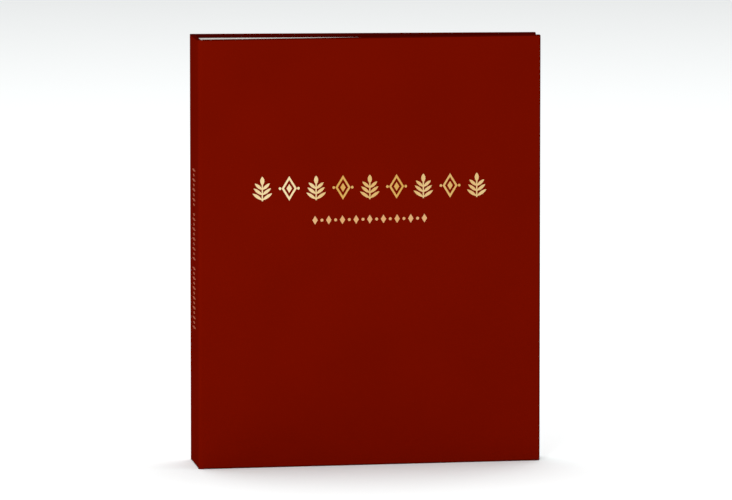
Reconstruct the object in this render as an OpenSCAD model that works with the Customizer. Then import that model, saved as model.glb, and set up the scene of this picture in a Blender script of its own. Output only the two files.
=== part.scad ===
// Family record binder: a hard case of three wrapped boards, a two-ring mechanism
// on the inside of the spine, and nine loose leaves turning on its rings.
// The binder stands closed on its lower edges. +Z is up, the spine is at -X,
// the front cover faces -Y. The origin is under the middle of the closed binder.

/* [Case] */
// Height of the covers
cover_h = 235; // [225:1:260]
// Overall width of the closed case, spine to fore-edge
cover_w = 190; // [186:1:220]
// Overall thickness at the spine
spine_d = 42; // [42:1:50]
// Angle by which each cover leans in towards the fore-edge
cover_lean = 3.5; // [2.5:0.1:3.8]
// Thickness of the grey board
board_t = 2; // [1.8:0.1:2.4]
// Thickness of the laminated covering paper
wrap_t = 0.2; // [0.15:0.05:0.25]
// Thickness of the white lining paper
lining_t = 0.15; // [0.1:0.05:0.2]
// Width of covering paper folded over each board
turn_in = 15; // [12:1:20]
// Strip of folded covering paper left bare round the lining
lining_inset = 2.2; // [1.5:0.1:5]

/* [Ring mechanism] */
// Distance between the two rings
ring_pitch = 80; // [80:1:80]
// Inside diameter of a closed ring
ring_bore = 25; // [23:0.5:25]
// Diameter of the ring wire
wire_d = 2.6; // [2.4:0.1:2.8]
// Angle through which each ring half opens
ring_swing = 8; // [6:0.5:8]
// Length of the mechanism's housing
housing_l = 150; // [140:1:160]
// Width of the mechanism's housing
housing_w = 26; // [25:0.5:27]

/* [Leaves] */
// Height of a plain card
card_h = 210; // [200:1:215]
// Width of a plain card
card_w = 160; // [150:1:163]
// Thickness of a card
card_t = 0.35; // [0.25:0.05:0.4]
// Height of a clear sleeve
sleeve_h = 216; // [212:1:220]
// Width of a clear sleeve
sleeve_w = 165; // [163:1:166]
// Thickness of the sleeve's film
film_t = 0.1; // [0.08:0.01:0.12]
// Diameter of a punched hole
punch_d = 6.5; // [6.3:0.1:6.8]

/* [Hidden] */
$fn = 64;
cut = 1;                                    // how far a cutting tool overshoots

// Case: the corner arc of the covering paper, and the bare strip beside each board
corner_r = 2;
bare_strip = 0.9;
spine_flat = spine_d / 2 - corner_r;        // half the flat width of the spine
spine_half = spine_flat - bare_strip;       // half the width of the spine board
case_t = board_t + 2 * wrap_t;              // a wrapped board
cover_x0 = corner_r * (1 + sin(cover_lean));
cover_y0 = -spine_flat - corner_r * cos(cover_lean);
cover_l = (cover_w - cover_x0) / cos(cover_lean);
strip_t = wrap_t + lining_t;
strip_gap = 0.3;                            // strip's ends stay clear of the floor

// Mechanism, measured from the spine's outer face
base_x = case_t + lining_t;                 // surface of the spine's lining
mid_z = cover_h / 2;
sheet_t = 0.8;
housing_h = 6.5;
housing_wall = 3.5;                         // height of the housing's straight sides
rim_r = 0.8;
crown_rise = housing_h - housing_wall;
crown_r = (pow(housing_w / 2, 2) + pow(crown_rise, 2)) / (2 * crown_rise);
crown_x = base_x + housing_h - crown_r;
pivot_x = base_x + 2.15;
pivot_y = housing_w / 2 - 1.4;
bead_r = 0.45;
blade_t = 0.8;
blade_l = housing_l - 6;
blade_tip = 0.15;                           // gap from each blade to the middle
wire_r = wire_d / 2;
ring_r = ring_bore / 2 + wire_r;            // to the middle of the wire
ring_x = base_x + 13;
tip_angle = 0.25;                           // leaves a hairline between the ring tips
wire_end_angle = 160;
slot_in = 7.8;                              // inner end of the ring slots
slot_x = base_x + 2.9;
slot_w = wire_d + 1.2;
stub_r = 0.9;
stub_at = 2.9;                              // distance of the wire's foot from the pivot

// Rivets
rivet_z = 57;
rivet_r = 2;
rivet_head_r = 4.5;
rivet_head_t = 0.5;
rivet_cap_r = 3.4;
rivet_cap_t = 0.8;
rivet_play = 0.1;

// Levers
lever_z = housing_l / 2 - 1.6;
lever_x = base_x + 1.05;
lever_w = 14;
lever_hub_r = 0.9;
lever_pin_r = 0.7;
lever_rise = 50;
lever_arm = 8;
lever_tab = 3;
lever_t = 1;
tongue_w = 5;
tongue_l = 2.1;
tongue_t = 0.7;

// Leaves: order from front to back, true for a clear sleeve
leaf_is_sleeve = [false, true, false, true, false, true, false, true, false];
leaf_gap = 0.3;
paper_t = 0.18;
paper_play = 0.05;
sleeve_t = 2 * (film_t + paper_play) + paper_t;
hole_offset = 0.7;                          // holes hang a little outside the wire
hole_to_edge = 12;
leaf_drop = 1;                              // leaves hang from the top of their holes
sleeve_margin = 15;                         // punched strip beside the pocket
sleeve_seam = 1;
paper_w = 148;
paper_h = 210;
hole_x = ring_x + ring_r + hole_offset;
leaf_x = hole_x - hole_to_edge;
leaf_z = mid_z - leaf_drop;

function leaf_t(i) = leaf_is_sleeve[i] ? sleeve_t : card_t;
function stack_to(i) = i == 0 ? 0 : stack_to(i - 1) + leaf_t(i - 1) + leaf_gap;
leaf_count = len(leaf_is_sleeve);
stack_t = stack_to(leaf_count - 1) + leaf_t(leaf_count - 1);
function leaf_y(i) = stack_to(i) - stack_t / 2;

// Foil
foil_t = 0.05;
title_z = 146.4;
title_u = 92.9;                             // middle of the title along the cover
title_h = 13.4;
title_pitch = 14.9;
title_count = 9;
subtitle_z = 133;
subtitle_h = 4.8;
subtitle_pitch = 3.8;
subtitle_count = 17;
spine_title_z = 118.8;
spine_title_w = 17;
spine_title_count = 33;
spine_title_pitch = 2.7;
spine_title_gaps = [13, 24];                // marks left out, to make three groups

// ---------- placing ----------

module in_case() translate([-(cover_w - foil_t) / 2, 0, 0]) children();

// Cover frame: X along the cover from its hinge, Y inwards, Z up.
module on_front_cover()
    in_case()
        translate([cover_x0, cover_y0, 0])
            rotate([0, 0, cover_lean])
                children();

module on_back_cover() mirror([0, 1, 0]) on_front_cover() children();

module box(low, high) translate(low) cube(high - low);

module along_x(x0, x1, r) translate([x0, 0, 0]) rotate([0, 90, 0]) cylinder(h = x1 - x0, r = r);

// ---------- case ----------

module cover_board_shape()
    box([bare_strip, wrap_t, wrap_t], [cover_l - wrap_t, wrap_t + board_t, cover_h - wrap_t]);

module cover_wrap_shape()
    difference() {
        box([bare_strip, 0, 0], [cover_l, case_t, cover_h]);
        box([bare_strip - cut, wrap_t, wrap_t],
            [cover_l - wrap_t, wrap_t + board_t, cover_h - wrap_t]);
        box([bare_strip - cut, wrap_t + board_t / 2, turn_in],
            [cover_l - turn_in, case_t + cut, cover_h - turn_in]);
    }

// A white sheet over the turned-in paper, dropping onto the board inside it and
// over the board's hinge edge.
module endpaper_shape() {
    box([bare_strip - lining_t, case_t, lining_inset],
        [cover_l - lining_inset, case_t + lining_t, cover_h - lining_inset]);
    box([bare_strip - lining_t, wrap_t + board_t, turn_in],
        [cover_l - turn_in, case_t + lining_t, cover_h - turn_in]);
    box([bare_strip - lining_t, strip_t, lining_inset],
        [bare_strip, case_t + lining_t, cover_h - lining_inset]);
}

module front_board() color("darkgray") on_front_cover() cover_board_shape();
module back_board() color("darkgray") on_back_cover() cover_board_shape();
module front_cover_wrap() color([0.45, 0.05, 0]) on_front_cover() cover_wrap_shape();
module back_cover_wrap() color([0.45, 0.05, 0]) on_back_cover() cover_wrap_shape();
module front_endpaper() color("white") on_front_cover() endpaper_shape();
module back_endpaper() color("white") on_back_cover() endpaper_shape();

module at_rivets() for (s = [-1, 1]) translate([0, 0, mid_z + s * rivet_z]) children();

module spine_board()
    color("darkgray") in_case() difference() {
        box([wrap_t, -spine_half, wrap_t], [wrap_t + board_t, spine_half, cover_h - wrap_t]);
        at_rivets() {
            along_x(0, case_t + cut, rivet_r + rivet_play);
            along_x(0, wrap_t + rivet_head_t, rivet_head_r + rivet_play);
        }
    }

module spine_wrap()
    color([0.45, 0.05, 0]) in_case() difference() {
        box([0, -spine_half, 0], [case_t, spine_half, cover_h]);
        box([wrap_t, -spine_half - cut, wrap_t],
            [wrap_t + board_t, spine_half + cut, cover_h - wrap_t]);
        box([wrap_t + board_t / 2, -spine_half - cut, turn_in],
            [case_t + cut, spine_half + cut, cover_h - turn_in]);
    }

module spine_lining()
    color("white") in_case() difference() {
        edge = spine_half + lining_t;
        union() {
            box([case_t, -edge, lining_inset], [base_x, edge, cover_h - lining_inset]);
            box([wrap_t + board_t, -edge, turn_in], [base_x, edge, cover_h - turn_in]);
            for (s = [-1, 1])
                box([strip_t, min(s * spine_half, s * edge), lining_inset],
                    [base_x, max(s * spine_half, s * edge), cover_h - lining_inset]);
        }
        at_rivets() along_x(0, base_x + cut, rivet_r + rivet_play);
    }

// The bare covering paper and lining that fold at the corner of the case.
module hinge_strip_shape() {
    low = strip_gap;
    high = cover_h - strip_gap;
    box([0, -spine_flat, low], [strip_t, -spine_half, high]);
    translate([corner_r, -spine_flat, low])
        rotate([0, 0, 180])
            rotate_extrude(angle = 90 + cover_lean)
                translate([corner_r - strip_t, 0]) square([strip_t, high - low]);
    translate([cover_x0, cover_y0, 0])
        rotate([0, 0, cover_lean])
            box([0, 0, low], [bare_strip, strip_t, high]);
}

module front_hinge_strip() color([0.45, 0.05, 0]) in_case() hinge_strip_shape();
module back_hinge_strip() mirror([0, 1, 0]) front_hinge_strip();

// ---------- foil ----------

// A pointed leaf standing on the origin
module leaf_2d(l, w) {
    r = (l * l + w * w) / (4 * w);
    intersection() {
        translate([r - w / 2, l / 2]) circle(r);
        translate([w / 2 - r, l / 2]) circle(r);
    }
}

module lozenge_2d(w, h)
    polygon([[0, 0], [w / 2, h / 2], [0, h], [-w / 2, h / 2]]);

// A sprig: a stem with three pairs of slender leaves and a bud at the top
module sprig_2d(h) {
    stem_w = h * 0.055;
    translate([-stem_w / 2, 0]) square([stem_w, h * 0.66]);
    translate([0, h * 0.64]) leaf_2d(h * 0.36, h * 0.17);
    for (level = [0.04, 0.25, 0.46], side = [-1, 1])
        translate([0, h * level])
            rotate(side * (56 - 14 * level)) leaf_2d(h * (0.5 - 0.2 * level), h * 0.125);
}

// An open lozenge round a small solid one, with a dot on either side
module gem_2d(h) {
    difference() {
        lozenge_2d(h * 0.62, h);
        translate([0, h * 0.15]) lozenge_2d(h * 0.434, h * 0.7);
    }
    translate([0, h * 0.32]) lozenge_2d(h * 0.22, h * 0.36);
    for (side = [-1, 1]) translate([side * h * 0.38, h / 2]) circle(h * 0.055);
}

module title_row_2d()
    for (i = [0 : title_count - 1])
        translate([(i - (title_count - 1) / 2) * title_pitch, 0])
            if (i % 2 == 0) sprig_2d(title_h); else gem_2d(title_h);

module small_row_2d()
    for (i = [0 : subtitle_count - 1])
        translate([(i - (subtitle_count - 1) / 2) * subtitle_pitch, 0])
            if (i % 2 == 0) lozenge_2d(subtitle_h * 0.62, subtitle_h);
            else translate([0, subtitle_h / 2]) circle(subtitle_h * 0.17);

// A ladder of long lozenges lying across the spine, every other one short, in three groups
module spine_row_2d()
    for (i = [0 : spine_title_count - 1]) if (len(search(i, spine_title_gaps)) == 0) {
        long = i % 2 == 0 ? spine_title_w : spine_title_w * 0.55;
        translate([-long / 2, (i - (spine_title_count - 1) / 2) * spine_title_pitch])
            rotate(-90) lozenge_2d(spine_title_pitch * 0.62, long);
    }

module front_title_foil()
    color([0.85, 0.65, 0.3]) on_front_cover() rotate([90, 0, 0]) linear_extrude(foil_t) {
        translate([title_u, title_z]) title_row_2d();
        translate([title_u, subtitle_z]) small_row_2d();
    }

module spine_title_foil()
    color([0.85, 0.65, 0.3]) in_case()
        translate([0, 0, spine_title_z])
            rotate([90, 0, -90]) linear_extrude(foil_t) spine_row_2d();

// ---------- ring mechanism ----------

module at_rings() for (s = [-1, 1]) translate([0, 0, mid_z + s * ring_pitch / 2]) children();

// Outline of the housing's sheet, or of the space inside it when inset is its thickness
module housing_2d(inset)
    intersection() {
        translate([base_x, -housing_w / 2 + inset]) square([housing_h, housing_w - 2 * inset]);
        translate([crown_x, 0]) circle(crown_r - inset, $fn = 128);
    }

module mechanism_housing()
    color("silver") in_case() difference() {
        translate([0, 0, mid_z - housing_l / 2]) linear_extrude(housing_l) {
            difference() {
                housing_2d(0);
                housing_2d(sheet_t);
            }
            for (s = [-1, 1])
                translate([base_x + rim_r, s * (housing_w / 2 - rim_r)]) circle(rim_r);
        }
        at_rings() for (s = [-1, 1])
            translate([slot_x, s > 0 ? slot_in : -slot_in - housing_w, -slot_w / 2])
                cube([housing_h, housing_w, slot_w]);
        at_rivets() along_x(base_x + rim_r, base_x + housing_h + cut, rivet_r + rivet_play);
        for (s = [-1, 1])
            translate([lever_x, 0, mid_z + s * lever_z])
                rotate([90, 0, 0])
                    cylinder(h = housing_w + cut, r = lever_pin_r + 0.05, center = true);
    }

// Blade frame: origin on the front blade's pivot, +Y along the blade to the middle
module on_blade() translate([pivot_x, -pivot_y, 0]) rotate([0, 0, ring_swing / 2]) children();

module blade_shape()
    difference() {
        translate([0, 0, mid_z - blade_l / 2]) on_blade() {
            cylinder(h = blade_l, r = bead_r);
            translate([-blade_t / 2, 0, 0]) cube([blade_t, pivot_y - blade_tip, blade_l]);
        }
        at_rivets() along_x(base_x, base_x + housing_h, rivet_r + 1);
        at_rings() on_blade()
            translate([0, stub_at, 0])
                rotate([0, 90, 0]) cylinder(h = 2 * cut, r = stub_r, center = true);
    }

// One half ring with its foot cut to the blade and a stub through it
module ring_half_shape() {
    difference() {
        translate([ring_x, 0, 0])
            rotate([0, 0, -wire_end_angle])
                rotate_extrude(angle = wire_end_angle - tip_angle)
                    translate([ring_r, 0]) circle(wire_r, $fn = 48);
        on_blade()
            translate([blade_t / 2 - 2 * housing_h, -housing_w / 2, -wire_d])
                cube([2 * housing_h, 2 * housing_w, 2 * wire_d]);
    }
    on_blade()
        translate([-blade_t / 2, stub_at, 0])
            rotate([0, 90, 0]) cylinder(h = blade_t + wire_r, r = stub_r);
}

module ring_half(level)
    color("silver") in_case()
        translate([0, 0, mid_z + level * ring_pitch / 2]) ring_half_shape();

module front_blade() color("silver") in_case() blade_shape();
module back_blade() mirror([0, 1, 0]) front_blade();
module front_ring_half_upper() ring_half(1);
module front_ring_half_lower() ring_half(-1);
module back_ring_half_upper() mirror([0, 1, 0]) ring_half(1);
module back_ring_half_lower() mirror([0, 1, 0]) ring_half(-1);

// Lever frame: origin on its pivot, +Z outwards from the mechanism's middle
module lever_shape() {
    rotate([90, 0, 0]) cylinder(h = lever_w, r = lever_hub_r, center = true);
    rotate([90, 0, 0]) cylinder(h = housing_w - 0.6, r = lever_pin_r, center = true);
    box([-lever_hub_r + 0.05, -tongue_w / 2, -tongue_l],
        [-lever_hub_r + 0.05 + tongue_t, tongue_w / 2, 0]);
    rotate([0, 90 - lever_rise, 0]) {
        box([-lever_t / 2, -lever_w / 2, 0], [lever_t / 2, lever_w / 2, lever_arm]);
        translate([0, 0, lever_arm])
            rotate([90, 0, 0]) cylinder(h = lever_w, r = lever_t / 2, center = true);
    }
    translate([lever_arm * sin(lever_rise), 0, lever_arm * cos(lever_rise)]) {
        box([-lever_t / 2, -lever_w / 2, 0], [lever_t / 2, lever_w / 2, lever_tab]);
        translate([0, 0, lever_tab])
            rotate([90, 0, 0]) cylinder(h = lever_w, r = lever_t / 2, center = true);
    }
}

module lever(side)
    color("silver") in_case()
        translate([lever_x, 0, mid_z + side * lever_z])
            mirror([0, 0, side < 0 ? 1 : 0]) lever_shape();

module upper_lever() lever(1);
module lower_lever() lever(-1);

module mechanism_rivets()
    color("silver") in_case() at_rivets() {
        top = base_x + housing_h;
        along_x(wrap_t, wrap_t + rivet_head_t, rivet_head_r);
        along_x(wrap_t, top + rivet_cap_t / 2, rivet_r);
        along_x(top, top + rivet_cap_t / 2, rivet_cap_r);
        translate([top + rivet_cap_t / 2, 0, 0])
            rotate([0, 90, 0]) cylinder(h = rivet_cap_t / 2, r1 = rivet_cap_r, r2 = rivet_r);
    }

// ---------- leaves ----------

module punched()
    difference() {
        children();
        at_rings()
            translate([hole_x, 0, -leaf_drop])
                rotate([90, 0, 0]) cylinder(h = spine_d, r = punch_d / 2, center = true);
    }

module card(i)
    color("ivory") in_case() punched()
        translate([leaf_x, leaf_y(i), leaf_z - card_h / 2]) cube([card_w, card_t, card_h]);

module sleeve(i)
    color([0.85, 0.9, 0.95, 0.4]) in_case() punched()
        translate([leaf_x, leaf_y(i), leaf_z - sleeve_h / 2]) difference() {
            cube([sleeve_w, sleeve_t, sleeve_h]);
            translate([sleeve_margin, film_t, sleeve_seam])
                cube([sleeve_w - sleeve_margin - sleeve_seam,
                      sleeve_t - 2 * film_t, sleeve_h]);
        }

module certificate(i)
    color("ivory") in_case()
        translate([leaf_x + sleeve_margin + paper_play * 2,
                   leaf_y(i) + film_t + paper_play,
                   leaf_z - sleeve_h / 2 + sleeve_seam])
            cube([paper_w, paper_t, paper_h]);

// ---------- nodes ----------

front_board();
back_board();
spine_board();
front_cover_wrap();
back_cover_wrap();
spine_wrap();
front_hinge_strip();
back_hinge_strip();
front_endpaper();
back_endpaper();
spine_lining();
front_title_foil();
spine_title_foil();
mechanism_housing();
front_blade();
back_blade();
front_ring_half_upper();
front_ring_half_lower();
back_ring_half_upper();
back_ring_half_lower();
upper_lever();
lower_lever();
mechanism_rivets();
card(0);  // title_card
sleeve(1);  // sleeve_1
certificate(1);  // certificate_1
card(2);  // chapter_card_1
sleeve(3);  // sleeve_2
certificate(3);  // certificate_2
card(4);  // chapter_card_2
sleeve(5);  // sleeve_3
certificate(5);  // certificate_3
card(6);  // chapter_card_3
sleeve(7);  // sleeve_4
certificate(7);  // certificate_4
card(8);  // end_card
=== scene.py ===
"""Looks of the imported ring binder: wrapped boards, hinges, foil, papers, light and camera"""
import math

import bmesh
import bpy
from mathutils import Matrix, Vector


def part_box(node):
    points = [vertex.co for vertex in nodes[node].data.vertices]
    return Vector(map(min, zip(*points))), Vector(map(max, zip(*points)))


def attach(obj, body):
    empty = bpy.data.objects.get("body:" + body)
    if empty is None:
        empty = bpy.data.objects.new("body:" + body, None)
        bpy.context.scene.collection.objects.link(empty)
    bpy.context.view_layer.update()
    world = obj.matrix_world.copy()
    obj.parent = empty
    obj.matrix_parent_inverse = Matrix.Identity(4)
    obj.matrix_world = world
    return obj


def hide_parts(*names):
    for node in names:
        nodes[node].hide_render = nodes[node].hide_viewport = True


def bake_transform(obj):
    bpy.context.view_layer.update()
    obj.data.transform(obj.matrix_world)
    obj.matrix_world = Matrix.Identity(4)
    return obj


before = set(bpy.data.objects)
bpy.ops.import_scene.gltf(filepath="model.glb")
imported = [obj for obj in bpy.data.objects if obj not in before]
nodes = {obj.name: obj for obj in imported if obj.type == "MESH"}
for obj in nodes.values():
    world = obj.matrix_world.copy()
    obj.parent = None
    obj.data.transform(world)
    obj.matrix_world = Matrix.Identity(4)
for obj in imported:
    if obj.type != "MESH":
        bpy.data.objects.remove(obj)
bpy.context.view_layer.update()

# ---------------------------------------------------------------- sizes, in metres
MM = 0.001
LEAN = math.radians(3.5)    # each cover's slope towards the fore-edge
CORNER_R = 2 * MM           # outer radius of the fold between the spine and a cover
BARE = 0.9 * MM             # flat paper between a fold and the board beside it
WRAP_T = 0.2 * MM           # covering paper
LINING_T = 0.15 * MM        # endpapers and the lining of the spine
BOARD_T = 2 * MM
CASE_T = BOARD_T + 2 * WRAP_T
TURN_IN = 15 * MM           # covering paper folded onto the inside
PRESS_W = 0.4 * MM          # the turned-in paper is pressed down over this width
PRESS_T = 0.06 * MM         # and by this much
INSET = 2.2 * MM            # endpapers and linings stop this far inside the case's edges
EDGE_R = 0.9 * MM           # rounding of the paper over a board's edge
BOARD_R = EDGE_R - WRAP_T + 0.03 * MM   # rounding of a board's edges, just clear of the paper
BOARD_CORNER_R = 1 * MM
COVER_CORNER_R = 0.7 * MM   # rounding of a cover's corners, seen from the front
LEAST_CORNER_R = 0.25 * MM  # the same further in
RIM_DEPTH = 0.12 * EDGE_R   # painted shade on the paper is at its darkest this deep round an edge
STRIP_GAP = 0.05 * MM       # a hinge's covering paper stays this clear of the floor
STRIP_RIM = 0.6 * EDGE_R    # painted shade: dark band at both ends of a hinge

# How an endpaper comes down onto the board, from the edge of the turned-in paper: (inwards, down) in MM
SHEET_FALL = [(-0.6, 0.0), (0.1, 0.03), (0.7, 0.12), (1.3, 0.18), (2.2, 0.2)]
SHEET_NIP = 0.04 * MM       # rounding of an endpaper's own edge

EDGE_STEPS = 6              # points round a board's edge
CORNER_STEPS = 8            # points round a corner seen from the front
FOLD_STEPS = 20             # points round the fold of a hinge
FLAT_STEPS = 4              # points along a hinge's flat ends
HOLE_STEPS = 48             # points round a punched hole
SHARP = 35                  # edges over this many degrees stay sharp

spine_low, spine_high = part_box("spine_wrap")
X0 = spine_low.x            # outer face of the spine
HEIGHT = spine_high.z
SPINE_HALF = spine_high.y
SPINE_FLAT = SPINE_HALF + BARE
COVER_X = X0 + CORNER_R * (1 + math.sin(LEAN))
COVER_Y = -SPINE_FLAT - CORNER_R * math.cos(LEAN)
COVER_L = (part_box("front_cover_wrap")[1].x - COVER_X) / math.cos(LEAN)

# Cover frame: X along the cover, Y inwards through it, Z up
FRONT = Matrix.Translation((COVER_X, COVER_Y, 0)) @ Matrix.Rotation(LEAN, 4, "Z")
BACK = Matrix.Diagonal((1, -1, 1, 1)) @ FRONT
# Stands a plate that lies in XY up in XZ, with its thickness towards -Y
UPRIGHT = Matrix.Rotation(math.radians(90), 4, "X")


# ---------------------------------------------------------------- mesh helpers

def finish_mesh(name, bm, matrix=Matrix.Identity(4), sharp=SHARP):
    """Turns a bmesh into an object, with edges over sharp degrees kept sharp"""
    bmesh.ops.transform(bm, matrix=matrix, verts=bm.verts)
    bmesh.ops.remove_doubles(bm, verts=bm.verts, dist=1e-7)
    bmesh.ops.recalc_face_normals(bm, faces=bm.faces)
    mesh = bpy.data.meshes.new(name)
    bm.to_mesh(mesh)
    bm.free()
    obj = bpy.data.objects.new(name, mesh)
    bpy.context.scene.collection.objects.link(obj)
    mesh.polygons.foreach_set("use_smooth", [True] * len(mesh.polygons))
    mesh.set_sharp_from_angle(angle=math.radians(sharp))
    return obj


def thicken(obj, thickness, offset):
    """Makes a surface a closed sheet; offset -1 or 1 says on which side of it"""
    mod = obj.modifiers.new("thickness", "SOLIDIFY")
    mod.thickness = thickness
    mod.offset = offset
    mod.use_even_offset = True
    mod.use_quality_normals = True
    evaluated = obj.evaluated_get(bpy.context.evaluated_depsgraph_get())
    mesh = bpy.data.meshes.new_from_object(evaluated)
    obj.modifiers.clear()
    obj.data = mesh
    mesh.set_sharp_from_angle(angle=math.radians(SHARP))


def arc(cx, cy, r, a0, a1, n):
    """n + 1 points round a circle, angles in degrees"""
    return [(cx + r * math.cos(math.radians(a0 + (a1 - a0) * i / n)),
             cy + r * math.sin(math.radians(a0 + (a1 - a0) * i / n))) for i in range(n + 1)]


def line(a, b, n):
    """n + 1 points from a to b"""
    return [(a[0] + (b[0] - a[0]) * i / n, a[1] + (b[1] - a[1]) * i / n) for i in range(n + 1)]


def u_path(inset, x_start):
    """Three edges of a cover, inset: along the bottom from x_start, up the fore-edge, back along the top"""
    r = max(COVER_CORNER_R - inset, LEAST_CORNER_R)
    right = COVER_L - inset
    low = inset
    high = HEIGHT - inset
    points = [(x_start, low)]
    points += arc(right - r, low + r, r, -90, 0, CORNER_STEPS)
    points += arc(right - r, high - r, r, 0, 90, CORNER_STEPS)
    points.append((x_start, high))
    return points


def loft_rim(bm, profile, x_start, filled):
    """Rings of u_path at each (inset, depth) of profile, joined by faces, with the ring numbered filled
    closed by a face. Attribute rim, the mask of the painted shade, goes from 0 on the first ring to 1 at
    RIM_DEPTH."""
    rim = bm.verts.layers.float.get("rim") or bm.verts.layers.float.new("rim")
    rings = []
    for inset, depth in profile:
        ring = [bm.verts.new((x, depth, z)) for x, z in u_path(inset, x_start)]
        for vert in ring:
            vert[rim] = min(1.0, (depth - profile[0][1]) / RIM_DEPTH)
        rings.append(ring)
    for a, b in zip(rings, rings[1:]):
        for i in range(len(a) - 1):
            bm.faces.new((a[i], a[i + 1], b[i + 1], b[i]))
    bm.faces.new(rings[filled])
    return rings


def prism(bm, outline, low, high):
    """A closed outline in plan, (x, y), drawn up from low to high"""
    bottom, top = [[bm.verts.new((x, y, z)) for x, y in outline] for z in (low, high)]
    n = len(outline)
    for i in range(n):
        j = (i + 1) % n
        bm.faces.new((bottom[i], bottom[j], top[j], top[i]))
    bm.faces.new(bottom)
    bm.faces.new(top)


def ribbon_prism(bm, line_a, line_b, low, high, edge):
    """The space between two plan lines with the same number of points, drawn up from low to high.
    Attribute rim, the mask of the painted shade, is 1 at both ends and 0 from edge inwards."""
    n = len(line_a)
    levels = (low, low + edge, high - edge, high)
    last = len(levels) - 1
    rim = bm.verts.layers.float.new("rim")
    grid = {}
    for k, z in enumerate(levels):
        for side, points in enumerate((line_a, line_b)):
            for i, (x, y) in enumerate(points):
                vert = bm.verts.new((x, y, z))
                vert[rim] = 1.0 if k in (0, last) else 0.0
                grid[k, side, i] = vert

    def face(*corners):
        bm.faces.new([grid[corner] for corner in corners])

    for k in range(last):
        for side in (0, 1):
            for i in range(n - 1):
                face((k, side, i), (k, side, i + 1), (k + 1, side, i + 1), (k + 1, side, i))
        for i in (0, n - 1):
            face((k, 0, i), (k + 1, 0, i), (k + 1, 1, i), (k, 1, i))
    for k in (0, last):
        for i in range(n - 1):
            face((k, 0, i), (k, 0, i + 1), (k, 1, i + 1), (k, 1, i))


def rounded_rect(low, high, r):
    (x0, y0), (x1, y1) = low, high
    return (arc(x1 - r, y0 + r, r, -90, 0, CORNER_STEPS) + arc(x1 - r, y1 - r, r, 0, 90, CORNER_STEPS)
            + arc(x0 + r, y1 - r, r, 90, 180, CORNER_STEPS) + arc(x0 + r, y0 + r, r, 180, 270, CORNER_STEPS))


def circle(cx, cy, r):
    return arc(cx, cy, r, 0, 360, HOLE_STEPS)[:-1]


def plate(name, loops, thickness, bevel, matrix):
    """A flat plate with holes: the first loop is its outline. It lies in XY, from Z 0 to its thickness."""
    curve = bpy.data.curves.new(name, "CURVE")
    curve.dimensions = "2D"
    curve.fill_mode = "BOTH"
    for loop in loops:
        spline = curve.splines.new("POLY")
        spline.points.add(len(loop) - 1)
        for point, (x, y) in zip(spline.points, loop):
            point.co = (x, y, 0, 1)
        spline.use_cyclic_u = True
    curve.extrude = thickness / 2 - bevel
    curve.bevel_depth = bevel
    curve.bevel_resolution = 1
    curve.offset = -bevel
    temporary = bpy.data.objects.new(name, curve)
    bpy.context.scene.collection.objects.link(temporary)
    evaluated = temporary.evaluated_get(bpy.context.evaluated_depsgraph_get())
    mesh = bpy.data.meshes.new_from_object(evaluated)
    bm = bmesh.new()
    bm.from_mesh(mesh)
    bpy.data.objects.remove(temporary)
    bpy.data.curves.remove(curve)
    bpy.data.meshes.remove(mesh)
    bmesh.ops.translate(bm, vec=(0, 0, thickness / 2), verts=bm.verts)
    return finish_mesh(name, bm, matrix)


# ---------------------------------------------------------------- material helpers

def shade(color, k):
    return tuple(c * k for c in color)


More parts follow.
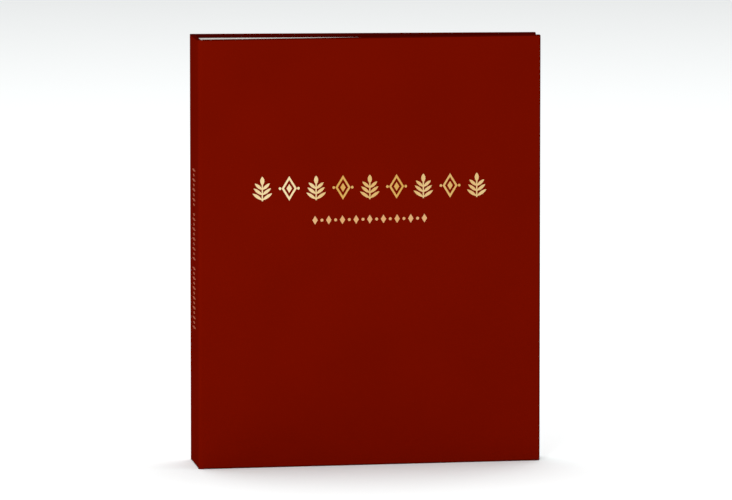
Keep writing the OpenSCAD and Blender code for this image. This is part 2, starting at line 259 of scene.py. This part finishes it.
class Material:
    """A Principled material and short ways to wire it"""

    def __init__(self, name, color, roughness, metallic=0.0, specular=0.5):
        self.material = bpy.data.materials.new(name)
        self.material.use_nodes = True
        self.tree = self.material.node_tree
        self.shader = self.tree.nodes["Principled BSDF"]
        self.set("Base Color", (*color, 1))
        self.set("Roughness", roughness)
        self.set("Metallic", metallic)
        self.set("Specular IOR Level", specular)
        self.material.diffuse_color = (*color, 1)
        self.coordinates = self.node("ShaderNodeTexCoord").outputs["Object"]
        self.base = None
        self.normal = None

    def set(self, socket, value):
        self.shader.inputs[socket].default_value = value

    def node(self, kind, **inputs):
        made = self.tree.nodes.new(kind)
        for key, value in inputs.items():
            self.feed(made.inputs[key], value)
        return made

    def feed(self, socket, value):
        if isinstance(value, bpy.types.NodeSocket):
            self.tree.links.new(value, socket)
        else:
            socket.default_value = value

    def math(self, operation, a, b=None):
        made = self.tree.nodes.new("ShaderNodeMath")
        made.operation = operation
        self.feed(made.inputs[0], a)
        if b is not None:
            self.feed(made.inputs[1], b)
        return made.outputs[0]

    def noise(self, scale, detail=3.0, roughness=0.5, stretch=None):
        vector = self.coordinates
        if stretch:
            vector = self.node("ShaderNodeMapping", Vector=vector, Scale=stretch).outputs["Vector"]
        made = self.node("ShaderNodeTexNoise", Vector=vector, Scale=scale, Detail=detail, Roughness=roughness)
        return made.outputs["Fac"]

    def axis(self, name):
        return self.node("ShaderNodeSeparateXYZ", Vector=self.coordinates).outputs[name]

    def remap(self, value, low, high, to_low=0.0, to_high=1.0):
        made = self.tree.nodes.new("ShaderNodeMapRange")
        for socket, v in zip(("Value", "From Min", "From Max", "To Min", "To Max"),
                             (value, low, high, to_low, to_high)):
            self.feed(made.inputs[socket], v)
        return made.outputs["Result"]

    def ramp(self, value, stops):
        made = self.node("ShaderNodeValToRGB", Fac=value)
        elements = made.color_ramp.elements
        while len(elements) < len(stops):
            elements.new(0.5)
        for element, (position, color) in zip(elements, stops):
            element.position = position
            element.color = (*color, 1)
        return made.outputs["Color"]

    def mix(self, factor, a, b):
        made = self.tree.nodes.new("ShaderNodeMix")
        made.data_type = "RGBA"
        self.feed(made.inputs["Factor"], factor)
        for socket, value in ((made.inputs[6], a), (made.inputs[7], b)):
            self.feed(socket, value if isinstance(value, bpy.types.NodeSocket) else (*value, 1))
        return made.outputs[2]

    def color(self, socket):
        self.base = socket
        self.feed(self.shader.inputs["Base Color"], socket)

    def roughness(self, socket):
        self.feed(self.shader.inputs["Roughness"], socket)

    def bump(self, socket, distance, strength):
        made = self.node("ShaderNodeBump", Height=socket, Distance=distance, Strength=strength)
        if self.normal:
            self.feed(made.inputs["Normal"], self.normal)
        self.normal = made.outputs["Normal"]
        self.feed(self.shader.inputs["Normal"], self.normal)


# ---------------------------------------------------------------- materials

RED = (0.154, 0.0035, 0.0)
PAINTED_EDGE_SHADE = 0.42              # painted shade: how dark the laminate is made round an edge, on the turned-in paper inside and at a hinge's ends
CARD = (0.78, 0.71, 0.55)
CARD_DARK = (0.71, 0.63, 0.47)
DOCUMENT = (0.86, 0.83, 0.74)
DOCUMENT_DARK = (0.8, 0.77, 0.67)
MAROON = (0.17, 0.02, 0.015)
GREEN_BLACK = (0.1, 0.13, 0.12)
PALE_GOLD = (1.0, 0.82, 0.47)
DEEP_GOLD = (0.76, 0.41, 0.09)
# painted shade: gold foil as it looks in shade, for the spine
PAINTED_SHADE_PALE_GOLD = (0.85, 0.42, 0.24)
PAINTED_SHADE_DEEP_GOLD = (0.7, 0.32, 0.15)
COPPER = (0.8, 0.42, 0.2)


def laminate():
    m = Material("dark_red_laminate", RED, 0.6, specular=0.0)
    cloud = m.noise(22, 2.0)
    fine = m.noise(2600, 2.0, 0.6)
    grain = m.noise(900, 3.0, 0.55)
    face = m.mix(m.remap(cloud, 0.3, 0.7), shade(RED, 0.965), shade(RED, 1.03))
    # painted shade: the rim mask darkens the laminate round the covers' edges, on the paper turned in inside
    # and at both ends of the hinges
    rim = m.tree.nodes.new("ShaderNodeAttribute")
    rim.attribute_name = "rim"
    m.color(m.mix(rim.outputs["Fac"], face, shade(RED, PAINTED_EDGE_SHADE)))
    m.bump(grain, 0.012 * MM, 0.5)
    m.bump(fine, 0.004 * MM, 0.4)
    return m.material


def paper(name, color, dark):
    m = Material(name, color, 0.85, specular=0.25)
    fibres = m.noise(700, 5.0, 0.7, stretch=(1, 1, 0.35))
    cloud = m.noise(60, 3.0)
    m.color(m.mix(m.remap(m.math("MULTIPLY", fibres, cloud), 0.1, 0.4), dark, color))
    m.bump(fibres, 0.02 * MM, 0.5)
    return m


def grey_board():
    m = Material("grey_board", (0.33, 0.3, 0.26), 0.9, specular=0.2)
    fleck = m.noise(1400, 4.0, 0.8)
    m.color(m.ramp(fleck, [(0.3, (0.2, 0.18, 0.15)), (0.5, (0.34, 0.31, 0.27)), (0.72, (0.5, 0.46, 0.4))]))
    m.bump(fleck, 0.05 * MM, 0.7)
    return m.material


def foil(name, pale, deep, axis, x_low, x_high, stops):
    """Gold foil with painted reflection: its colour turns from pale to deep gold along an axis; stops are
    (place, how deep)
    """
    m = Material(name, pale, 0.3, metallic=1.0)
    along = m.remap(m.axis(axis), x_low, x_high)
    wobble = m.math("ADD", along, m.math("MULTIPLY", m.math("SUBTRACT", m.noise(45, 1.0), 0.5), 0.1))
    colors = [(place, tuple(a + (b - a) * k for a, b in zip(pale, deep))) for place, k in stops]
    m.color(m.ramp(wobble, colors))
    m.roughness(m.remap(m.noise(1800, 3.0), 0.3, 0.7, 0.26, 0.4))
    m.bump(m.noise(1500, 3.0), 0.006 * MM, 0.5)
    return m


def nickel():
    m = Material("bright_nickel", (0.72, 0.7, 0.67), 0.16, metallic=1.0)
    brushed = m.noise(260, 4.0, 0.7, stretch=(6, 6, 0.25))
    cloud = m.noise(140, 3.0)
    m.color(m.mix(m.remap(cloud, 0.35, 0.65), (0.66, 0.64, 0.61), (0.76, 0.745, 0.72)))
    m.roughness(m.remap(brushed, 0.3, 0.7, 0.1, 0.24))
    m.bump(brushed, 0.003 * MM, 0.35)
    return m.material


def film():
    m = Material("clear_film", (0.93, 0.96, 0.98), 0.12, specular=0.5)
    m.set("IOR", 1.3)
    m.set("Transmission Weight", 0.93)
    m.bump(m.noise(30, 2.0), 0.25 * MM, 0.4)
    return m.material


EMBLEM_UP = 24 * MM         # middle of the title card's emblem above the middle of the card


def printed(name, color, dark, ink, node, frames, rules=(), emblem=0.0):
    """Paper printed with ruled frames (inset, width), short rules (height from the middle, half length,
    width) and, where emblem is its radius, a lozenge in a ring. It is all laid out from the sheet's own
    box, in the upright rest pose."""
    low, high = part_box(node)
    m = paper(name, color, dark)
    across = m.math("ABSOLUTE", m.math("SUBTRACT", m.axis("X"), (low.x + high.x) / 2))
    up = m.math("SUBTRACT", m.axis("Z"), (low.z + high.z) / 2)
    edge = m.math("MINIMUM", m.math("SUBTRACT", (high.x - low.x) / 2, across),
                  m.math("SUBTRACT", (high.z - low.z) / 2, m.math("ABSOLUTE", up)))

    def band(value, centre, width):
        return m.math("LESS_THAN", m.math("ABSOLUTE", m.math("SUBTRACT", value, centre)), width / 2)

    marks = [band(edge, inset, width) for inset, width in frames]
    for height, half, width in rules:
        marks.append(m.math("MULTIPLY", band(up, height, width), m.math("LESS_THAN", across, half)))
    if emblem:
        from_middle = m.math("SUBTRACT", up, EMBLEM_UP)
        radius = m.math("SQRT", m.math("ADD", m.math("MULTIPLY", across, across),
                                       m.math("MULTIPLY", from_middle, from_middle)))
        diamond = m.math("ADD", m.math("MULTIPLY", across, 1.5), m.math("ABSOLUTE", from_middle))
        marks.append(band(radius, emblem, 0.8 * MM))
        marks.append(band(radius, emblem * 0.86, 0.4 * MM))
        marks.append(m.math("LESS_THAN", diamond, emblem * 0.55))
    mask = marks[0]
    for mark in marks[1:]:
        mask = m.math("MAXIMUM", mask, mark)
    worn = m.remap(m.noise(2200, 2.0), 0.3, 0.5, 0.75, 1.0)
    m.color(m.mix(m.math("MULTIPLY", mask, worn), m.base, ink))
    return m.material


laminate_red = laminate()
white_paper = paper("white_endpaper", (0.83, 0.82, 0.79), (0.77, 0.755, 0.72)).material
card_paper = paper("cream_card", CARD, CARD_DARK).material
board_grey = grey_board()
bright_nickel = nickel()
clear_film = film()


def dress(obj, material):
    obj.data.materials.clear()
    obj.data.materials.append(material)


def install(piece, material, node, body):
    """Gives a piece its material, puts it in place of a CAD node and lets it ride on a body"""
    dress(piece, material)
    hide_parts(node)
    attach(piece, body)


# ---------------------------------------------------------------- case

def cover_board(side, matrix):
    """A slab with its corners and edges taken off, so that the paper turns round them"""
    right = COVER_L - WRAP_T - BOARD_CORNER_R
    low = WRAP_T + BOARD_CORNER_R
    high = HEIGHT - WRAP_T - BOARD_CORNER_R
    outline = [(BARE, WRAP_T)]
    outline += arc(right, low, BOARD_CORNER_R, -90, 0, EDGE_STEPS)
    outline += arc(right, high, BOARD_CORNER_R, 0, 90, EDGE_STEPS)
    outline.append((BARE, HEIGHT - WRAP_T))
    lay = matrix @ Matrix.Translation((0, WRAP_T + BOARD_T, 0)) @ UPRIGHT
    board = plate(side + "_board_core", [outline], BOARD_T, BOARD_R, lay)
    install(board, board_grey, side + "_board", side + "_cover")


def cover_paper(side, matrix):
    """Covering paper: outer face, round the edges, turned in"""
    profile = arc(EDGE_R, EDGE_R, EDGE_R, -90, -180, EDGE_STEPS)
    profile += arc(EDGE_R, CASE_T - EDGE_R, EDGE_R, 180, 90, EDGE_STEPS)
    profile += [(INSET, CASE_T), (TURN_IN - PRESS_W, CASE_T), (TURN_IN, CASE_T - PRESS_T)]
    bm = bmesh.new()
    loft_rim(bm, profile, BARE, filled=0)
    skin = finish_mesh(side + "_cover_paper", bm, matrix, 50)
    thicken(skin, WRAP_T, -1)
    install(skin, laminate_red, side + "_cover_wrap", side + "_cover")


def endpaper(side, matrix):
    """Lies on the turned-in paper, drops onto the board inside it and turns down over the hinge edge"""
    top = CASE_T + LINING_T
    start = BARE - LINING_T
    upper = [(INSET, CASE_T), (INSET, top - SHEET_NIP), (INSET + SHEET_NIP, top)]
    upper += [(TURN_IN + inwards * MM, top - down * MM) for inwards, down in SHEET_FALL]
    inner, lowest = upper[-1]
    under = [(inner, lowest - LINING_T), (TURN_IN + WRAP_T, CASE_T - WRAP_T)]
    under += [(TURN_IN, CASE_T), (INSET, CASE_T)]
    bm = bmesh.new()
    above = loft_rim(bm, upper, start, filled=-1)
    below = loft_rim(bm, under, start, filled=0)[:-1]
    bm.faces.new([ring[0] for ring in above] + [ring[-1] for ring in reversed(above)]
                 + [ring[-1] for ring in reversed(below)] + [ring[0] for ring in below])
    turned_down = [(start, WRAP_T + LINING_T), (BARE, WRAP_T + LINING_T), (BARE, CASE_T), (start, CASE_T)]
    prism(bm, turned_down, INSET, HEIGHT - INSET)
    sheet = finish_mesh(side + "_endpaper_sheet", bm, matrix, 40)
    install(sheet, white_paper, side + "_endpaper", side + "_cover")


def spine_paper():
    """Covering paper: outer face of the spine, over its two ends, turned in"""
    profile = [(CASE_T, TURN_IN), (CASE_T, EDGE_R)]
    profile += arc(CASE_T - EDGE_R, EDGE_R, EDGE_R, 0, -90, EDGE_STEPS)[1:]
    profile += arc(EDGE_R, EDGE_R, EDGE_R, -90, -180, EDGE_STEPS)
    profile += [(x, HEIGHT - z) for x, z in reversed(profile)]
    bm = bmesh.new()
    rim = bm.verts.layers.float.new("rim")
    a, b = [[bm.verts.new((X0 + x, y, z)) for x, z in profile] for y in (-SPINE_HALF, SPINE_HALF)]
    # rim is the mask of the painted shade: 0 on the outer face, 1 round the ends and on the turned-in paper
    for vert in a + b:
        vert[rim] = min(1.0, (vert.co.x - X0) / RIM_DEPTH)
    for i in range(len(profile) - 1):
        bm.faces.new((a[i], a[i + 1], b[i + 1], b[i]))
    skin = finish_mesh("spine_paper", bm, sharp=50)
    # thickness goes inwards, whichever way the faces were wound
    outer_faces = [p for p in skin.data.polygons if p.center.x < X0 + 0.01 * MM]
    wound_outwards = any(p.normal.x < 0 for p in outer_faces)
    thicken(skin, WRAP_T, -1 if wound_outwards else 1)
    install(skin, laminate_red, "spine_wrap", "spine")


def spine_board():
    """A slab with its top and bottom edges rounded under the paper"""
    low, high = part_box("spine_board")
    bm = bmesh.new()
    prism(bm, rounded_rect((low.x, low.z), (high.x, high.z), BOARD_R), -high.y, -low.y)
    board = finish_mesh("spine_board_core", bm, UPRIGHT)
    install(board, board_grey, "spine_board", "spine")


def fold_line(depth):
    """Plan of the front hinge this deep under its outer face: spine, round the fold, cover"""
    points = line((X0 + depth, -SPINE_HALF), (X0 + depth, -SPINE_FLAT), FLAT_STEPS)
    turned = 270 + math.degrees(LEAN)
    points += arc(X0 + CORNER_R, -SPINE_FLAT, CORNER_R - depth, 180, turned, FOLD_STEPS)[1:]
    start, end = [FRONT @ Vector((x, depth, 0)) for x in (0, BARE)]
    points += line(start, end, FLAT_STEPS)[1:]
    return points


def hinge(side):
    """The strips of covering paper and white lining round the fold between the spine and a cover"""
    flip = Matrix.Diagonal((1, 1 if side == "front" else -1, 1, 1))
    for name, outer, inner, low, material, slot in (
            ("covering", 0.0, WRAP_T, STRIP_GAP, laminate_red, "cover_paper"),
            ("lining", WRAP_T, WRAP_T + LINING_T, INSET, white_paper, "white_paper")):
        bm = bmesh.new()
        ribbon_prism(bm, fold_line(outer), fold_line(inner), low, HEIGHT - low, STRIP_RIM)
        piece = finish_mesh(f"{side}_hinge_{name}", bm, flip, 40)
        dress(piece, material)
        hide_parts(side + "_hinge_strip")
        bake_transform(piece)


for side, matrix in (("front", FRONT), ("back", BACK)):
    cover_board(side, matrix)
    cover_paper(side, matrix)
    endpaper(side, matrix)
spine_paper()
spine_board()
hinge("front")
hinge("back")
dress(nodes["spine_lining"], white_paper)

# ---------------------------------------------------------------- foil

SMALL_ROW_H = 6 * MM        # the small row stays under this height
ROW_FADE = 3 * MM           # its copper tone fades out over this height, between the two rows

low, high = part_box("front_title_foil")
# painted reflection: the title foil's pale and deep bands along its length
front_foil = foil("gold_foil", PALE_GOLD, DEEP_GOLD, "X", low.x, high.x,
                  [(0.0, 0.3), (0.12, 0.0), (0.22, 0.12), (0.37, 1.0), (0.5, 0.7), (0.63, 1.0), (0.72, 0.5),
                   (0.88, 0.9), (1.0, 0.45)])
small_row_top = low.z + SMALL_ROW_H
small_row = front_foil.remap(front_foil.axis("Z"), small_row_top, small_row_top + ROW_FADE, 0.75, 0.0)
front_foil.color(front_foil.mix(small_row, front_foil.base, COPPER))
dress(nodes["front_title_foil"], front_foil.material)

low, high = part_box("spine_title_foil")
# painted shade: the spine's gold foil is coloured rose, with painted reflection from pale to deep up the
# spine
spine_foil = foil("spine_gold_foil", PAINTED_SHADE_PALE_GOLD, PAINTED_SHADE_DEEP_GOLD, "Z", low.z, high.z,
                  [(0.0, 0.6), (0.3, 0.2), (0.6, 0.7), (1.0, 0.0)])
# painted shade: dull and coppery when it is seen along the spine
spine_foil.set("Specular Tint", (0.26, 0.03, 0.015, 1))
dress(nodes["spine_title_foil"], spine_foil.material)

# ---------------------------------------------------------------- mechanism

METAL_NODES = ["mechanism_housing", "mechanism_rivets", "front_blade", "back_blade",
               "front_ring_half_upper", "front_ring_half_lower", "back_ring_half_upper",
               "back_ring_half_lower", "upper_lever", "lower_lever"]
for name in METAL_NODES:
    dress(nodes[name], bright_nickel)

# ---------------------------------------------------------------- leaves

PUNCH_R = 3.25 * MM
HOLE_IN = 12 * MM           # from a card's edge to the middle of its holes
RING_HALF = 40 * MM         # half the distance between the rings
LEAF_DROP = 1 * MM          # leaves hang from the top of their holes
CARD_CORNER_R = 3 * MM
DOCUMENT_CORNER_R = 0.5 * MM
holes_z = sum(p.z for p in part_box("front_ring_half_upper")) / 2 - RING_HALF - LEAF_DROP


def leaf(node, body, material, corner, punched):
    """A card or document in place of its CAD node"""
    low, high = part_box(node)
    loops = [rounded_rect((low.x, low.z), (high.x, high.z), corner)]
    if punched:
        loops += [circle(low.x + HOLE_IN, holes_z + side * RING_HALF, PUNCH_R) for side in (-1, 1)]
    thickness = high.y - low.y
    lay = Matrix.Translation((0, high.y, 0)) @ UPRIGHT
    piece = plate(node + "_sheet", loops, thickness, min(0.05 * MM, thickness / 5), lay)
    install(piece, material, node, body)


def print_card(node):
    """Cream card: frames, rules and an emblem on the title card, a frame and rules on a chapter card"""
    if node == "end_card":
        return card_paper
    if node == "title_card":
        return printed("title_card_print", CARD, CARD_DARK, MAROON, node,
                       [(12 * MM, 0.9 * MM), (14.5 * MM, 0.4 * MM)],
                       [(-22 * MM, 45 * MM, 0.6 * MM), (-34 * MM, 30 * MM, 0.4 * MM)], emblem=19 * MM)
    return printed(node + "_print", CARD, CARD_DARK, MAROON, node, [(13 * MM, 0.7 * MM)],
                   [(30 * MM, 28 * MM, 0.5 * MM), (18 * MM, 28 * MM, 0.5 * MM)])


def print_document(node):
    """Off-white sheet with a double frame and ruled lines, every third one shorter"""
    rules = [((58 - 11.5 * k) * MM, (50 if k % 3 else 34) * MM, 0.35 * MM) for k in range(11)]
    return printed(node + "_print", DOCUMENT, DOCUMENT_DARK, GREEN_BLACK, node,
                   [(9 * MM, 1.2 * MM), (11.2 * MM, 0.4 * MM)], rules)


cards = ["title_card", "chapter_card_1", "chapter_card_2", "chapter_card_3", "end_card"]
for i, node in enumerate(cards):
    leaf(node, f"leaf_{2 * i + 1}", print_card(node), CARD_CORNER_R, punched=True)
for i in range(4):
    node = f"certificate_{i + 1}"
    leaf(node, f"leaf_{2 * i + 2}", print_document(node), DOCUMENT_CORNER_R, punched=False)
    dress(nodes[f"sleeve_{i + 1}"], clear_film)

# ---------------------------------------------------------------- floor, light, camera

FLOOR_SIDE = 9.0            # the floor reaches this far to each side
FLOOR_NEAR = 7.0            # this far towards the camera
FLOOR_FAR = 16.0            # and this far behind the binder
FLOOR_COLUMNS = 12
FLOOR_ROWS = 16


def studio_floor():
    bm = bmesh.new()
    grid = [[bm.verts.new((-FLOOR_SIDE + 2 * FLOOR_SIDE * i / FLOOR_COLUMNS,
                           -FLOOR_NEAR + (FLOOR_FAR + FLOOR_NEAR) * j / FLOOR_ROWS, 0.0))
             for i in range(FLOOR_COLUMNS + 1)] for j in range(FLOOR_ROWS + 1)]
    for j in range(FLOOR_ROWS):
        for i in range(FLOOR_COLUMNS):
            bm.faces.new((grid[j][i], grid[j][i + 1], grid[j + 1][i + 1], grid[j + 1][i]))
    floor = finish_mesh("studio_floor", bm)
    m = Material("studio_white", (0.88, 0.9, 0.9), 0.9, specular=0.0)
    m.set("Emission Color", (1, 1, 1, 1))
    m.set("Emission Strength", 0.12)
    dress(floor, m.material)


def studio_world():
    world = bpy.data.worlds.new("studio_world")
    world.use_nodes = True
    background = world.node_tree.nodes["Background"]
    background.inputs["Color"].default_value = (1, 1, 1, 1)
    background.inputs["Strength"].default_value = 0.5
    bpy.context.scene.world = world


def softbox(name, place, aim, size, power):
    light = bpy.data.lights.new(name, "AREA")
    light.shape = "SQUARE"
    light.size = size
    light.energy = power
    obj = bpy.data.objects.new(name, light)
    obj.location = place
    obj.rotation_euler = (Vector(aim) - Vector(place)).to_track_quat("-Z", "Y").to_euler()
    bpy.context.scene.collection.objects.link(obj)


studio_floor()
studio_world()
softbox("key_light", (-0.45, -1.15, 0.6), (0, 0, 0.3), 0.4, 6.4)
softbox("top_light", (0.05, 1.02, 3.2), (0.0, 0.82, 0), 2.4, 72)

camera_data = bpy.data.cameras.new("camera")
camera_data.sensor_width = 36
camera_data.sensor_fit = "HORIZONTAL"
camera_data.lens = 376.8
camera_data.clip_end = 60
camera = bpy.data.objects.new("camera", camera_data)
azimuth = math.radians(-7.5)
elevation = math.radians(6.2)
distance = 4.2
target = Vector((-0.0002, 0, 0.1168))
away = Vector((math.sin(azimuth) * math.cos(elevation), -math.cos(azimuth) * math.cos(elevation),
               math.sin(elevation)))
camera.location = target + away * distance
camera.rotation_euler = (-away).to_track_quat("-Z", "Y").to_euler()
bpy.context.scene.collection.objects.link(camera)
bpy.context.scene.camera = camera
bpy.context.scene.view_settings.view_transform = "Standard"
